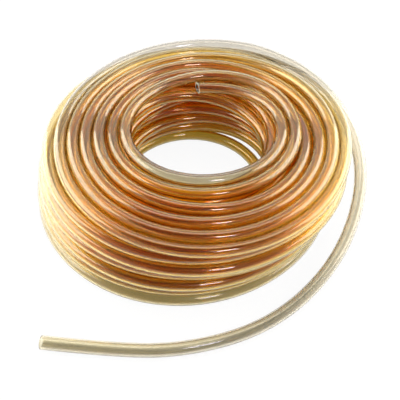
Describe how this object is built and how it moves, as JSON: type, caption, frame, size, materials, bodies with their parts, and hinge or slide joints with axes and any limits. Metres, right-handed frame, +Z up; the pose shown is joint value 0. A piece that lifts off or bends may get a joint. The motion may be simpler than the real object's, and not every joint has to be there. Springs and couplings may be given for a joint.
{
  "type": "coil of clear brewing transfer hose",
  "caption": "Loose coil of clear flexible hose wound round an open eye, its inner end free at the rim and its outer end led down and round in front, both cut plain.",
  "frame": {"origin": "middle of the footprint, coil and led-out end together, on the ground", "axes": "+Z up through the eye of the coil; -Y towards the side where the led-out end lies; its cut end points to -X"},
  "size_m": [0.3415, 0.3645, 0.0925],
  "materials": {
    "clear_hose": "clear flexible vinyl, pale amber, smooth and glossy",
    "stacked_hose": "the same vinyl where many turns lie one behind another, deep amber"
  },
  "bodies": {
    "root": {"wall_turns": "clear_hose", "top_turns": "clear_hose", "core": "stacked_hose", "tail": "clear_hose", "inner_end": "clear_hose"}
  },
  "joints": []
}
